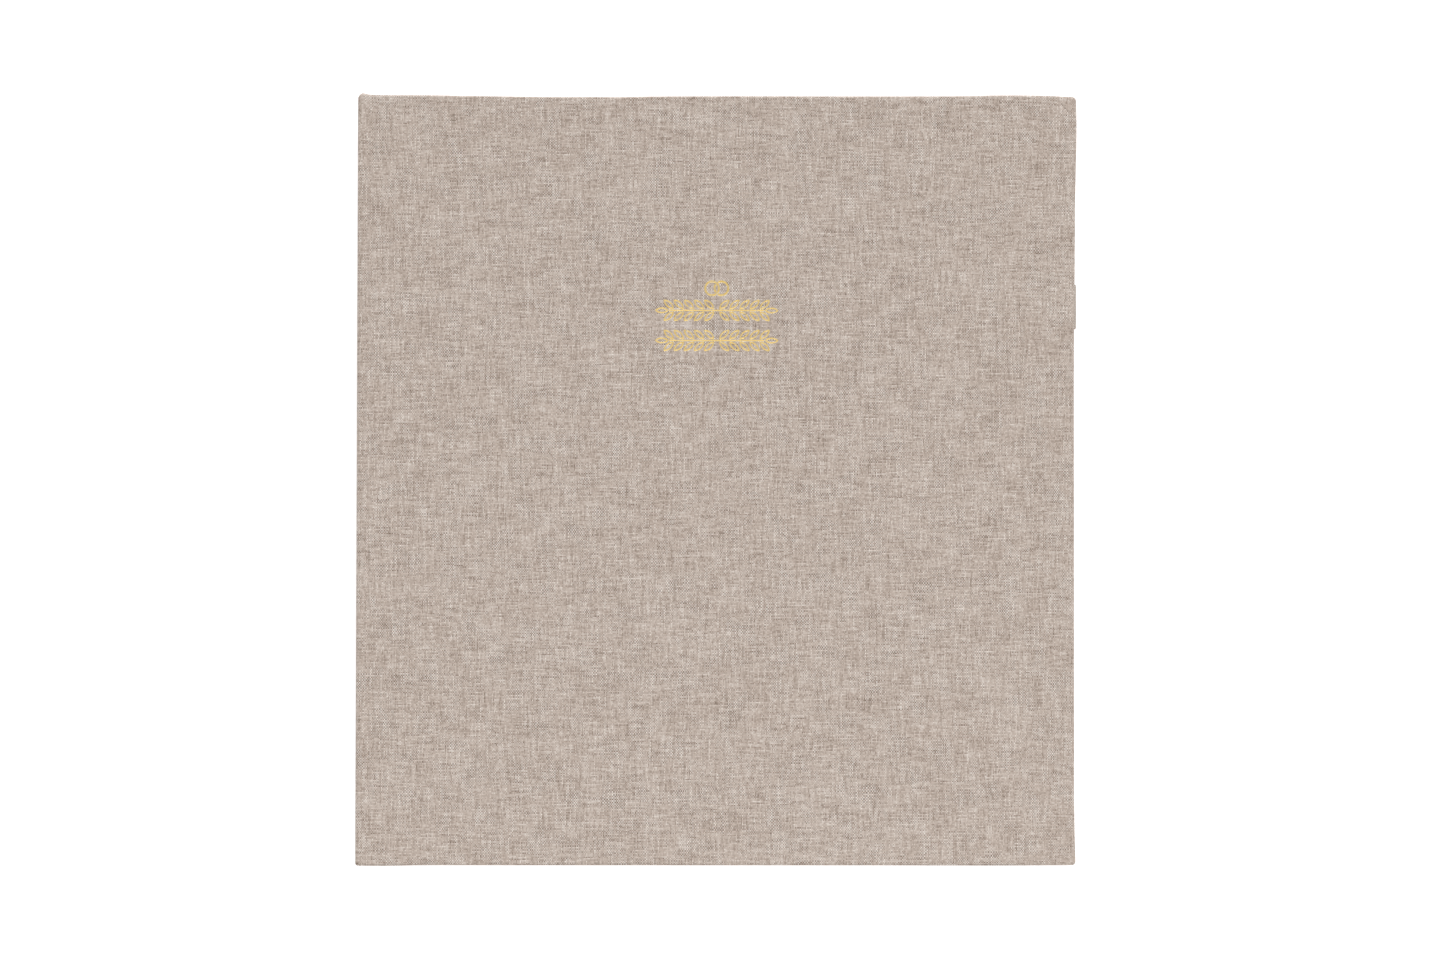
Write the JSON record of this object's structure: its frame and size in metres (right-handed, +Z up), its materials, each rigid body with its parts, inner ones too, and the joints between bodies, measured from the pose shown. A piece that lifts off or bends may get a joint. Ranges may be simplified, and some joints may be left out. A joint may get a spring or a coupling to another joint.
{
  "type": "wedding guest book",
  "caption": "Closed case-bound wedding guest book in taupe linen with gold foil ornament, pen loop and sewn pages that open flat at the middle.",
  "frame": {"origin": "middle of the resting face, under the middle of the closed book's box", "axes": "+X from the spine to the fore-edge, +Y from the tail to the head, +Z up from the back cover to the front cover"},
  "size_m": [0.2804, 0.2996, 0.028],
  "materials": {
    "linen": "taupe linen book cloth, slubbed plain weave",
    "greyboard": "pressed grey board",
    "lining_card": "manila card",
    "endpaper": "ivory endpaper, matte",
    "page_paper": "uncoated ivory paper",
    "binding_cotton": "unbleached cotton",
    "band_silk": "cream silk thread",
    "elastic": "ribbed elastic tape",
    "gold_foil": "hot-stamped gold foil"
  },
  "bodies": {
    "back_cover": {"back_board": "greyboard", "back_linen": "linen", "back_filler": "lining_card", "back_pastedown": "endpaper", "pen_loop": "elastic", "back_flyleaf": "endpaper", "signature_01": "page_paper", "signature_02": "page_paper", "signature_03": "page_paper", "signature_04": "page_paper", "signature_05": "page_paper", "sewing_tapes_lower": "binding_cotton", "mull_lower": "binding_cotton", "headband_lower": "band_silk", "tailband_lower": "band_silk"},
    "spine": {"spine_board": "greyboard", "spine_linen": "linen", "spine_liner": "lining_card"},
    "front_cover": {"front_board": "greyboard", "front_linen": "linen", "front_filler": "lining_card", "front_pastedown": "endpaper", "foil_ornament": "gold_foil"},
    "upper_pages": {"signature_06": "page_paper", "signature_07": "page_paper", "signature_08": "page_paper", "signature_09": "page_paper", "signature_10": "page_paper", "front_flyleaf": "endpaper", "sewing_tapes_upper": "binding_cotton", "mull_upper": "binding_cotton", "headband_upper": "band_silk", "tailband_upper": "band_silk"},
    "leaf_1": {"leaf_1": "page_paper"},
    "leaf_2": {"leaf_2": "page_paper"},
    "leaf_3": {"leaf_3": "page_paper"},
    "leaf_4": {"leaf_4": "page_paper"}
  },
  "joints": [
    {"name": "pages_turn", "type": "hinge", "parent": "back_cover", "child": "upper_pages", "pos_m": [-0.1357, 0, 0.014], "axis": [0, -1, 0], "range_deg": [0, 180]},
    {"name": "spine_hinge", "type": "hinge", "parent": "back_cover", "child": "spine", "pos_m": [-0.1398, 0, 0.0004], "axis": [0, -1, 0], "range_deg": [0, 90]},
    {"name": "front_cover_hinge", "type": "hinge", "parent": "spine", "child": "front_cover", "pos_m": [-0.1398, 0, 0.0276], "axis": [0, -1, 0], "range_deg": [0, 90]},
    {"name": "leaf_1_turn", "type": "hinge", "parent": "back_cover", "child": "leaf_1", "pos_m": [-0.1357, 0, 0.014], "axis": [0, -1, 0], "range_deg": [0, 10.8]},
    {"name": "leaf_2_turn", "type": "hinge", "parent": "back_cover", "child": "leaf_2", "pos_m": [-0.1357, 0, 0.014], "axis": [0, -1, 0], "range_deg": [0, 165.6]},
    {"name": "leaf_3_turn", "type": "hinge", "parent": "back_cover", "child": "leaf_3", "pos_m": [-0.1357, 0, 0.014], "axis": [0, -1, 0], "range_deg": [0, 171.9]},
    {"name": "leaf_4_turn", "type": "hinge", "parent": "back_cover", "child": "leaf_4", "pos_m": [-0.1357, 0, 0.014], "axis": [0, -1, 0], "range_deg": [0, 176.4]}
  ],
  "couplings": [
    {"joint": "spine_hinge", "follows": "pages_turn", "ratio": 0.5},
    {"joint": "front_cover_hinge", "follows": "pages_turn", "ratio": 0.5},
    {"joint": "leaf_1_turn", "follows": "pages_turn", "ratio": 0.06},
    {"joint": "leaf_2_turn", "follows": "pages_turn", "ratio": 0.92},
    {"joint": "leaf_3_turn", "follows": "pages_turn", "ratio": 0.955},
    {"joint": "leaf_4_turn", "follows": "pages_turn", "ratio": 0.98}
  ]
}
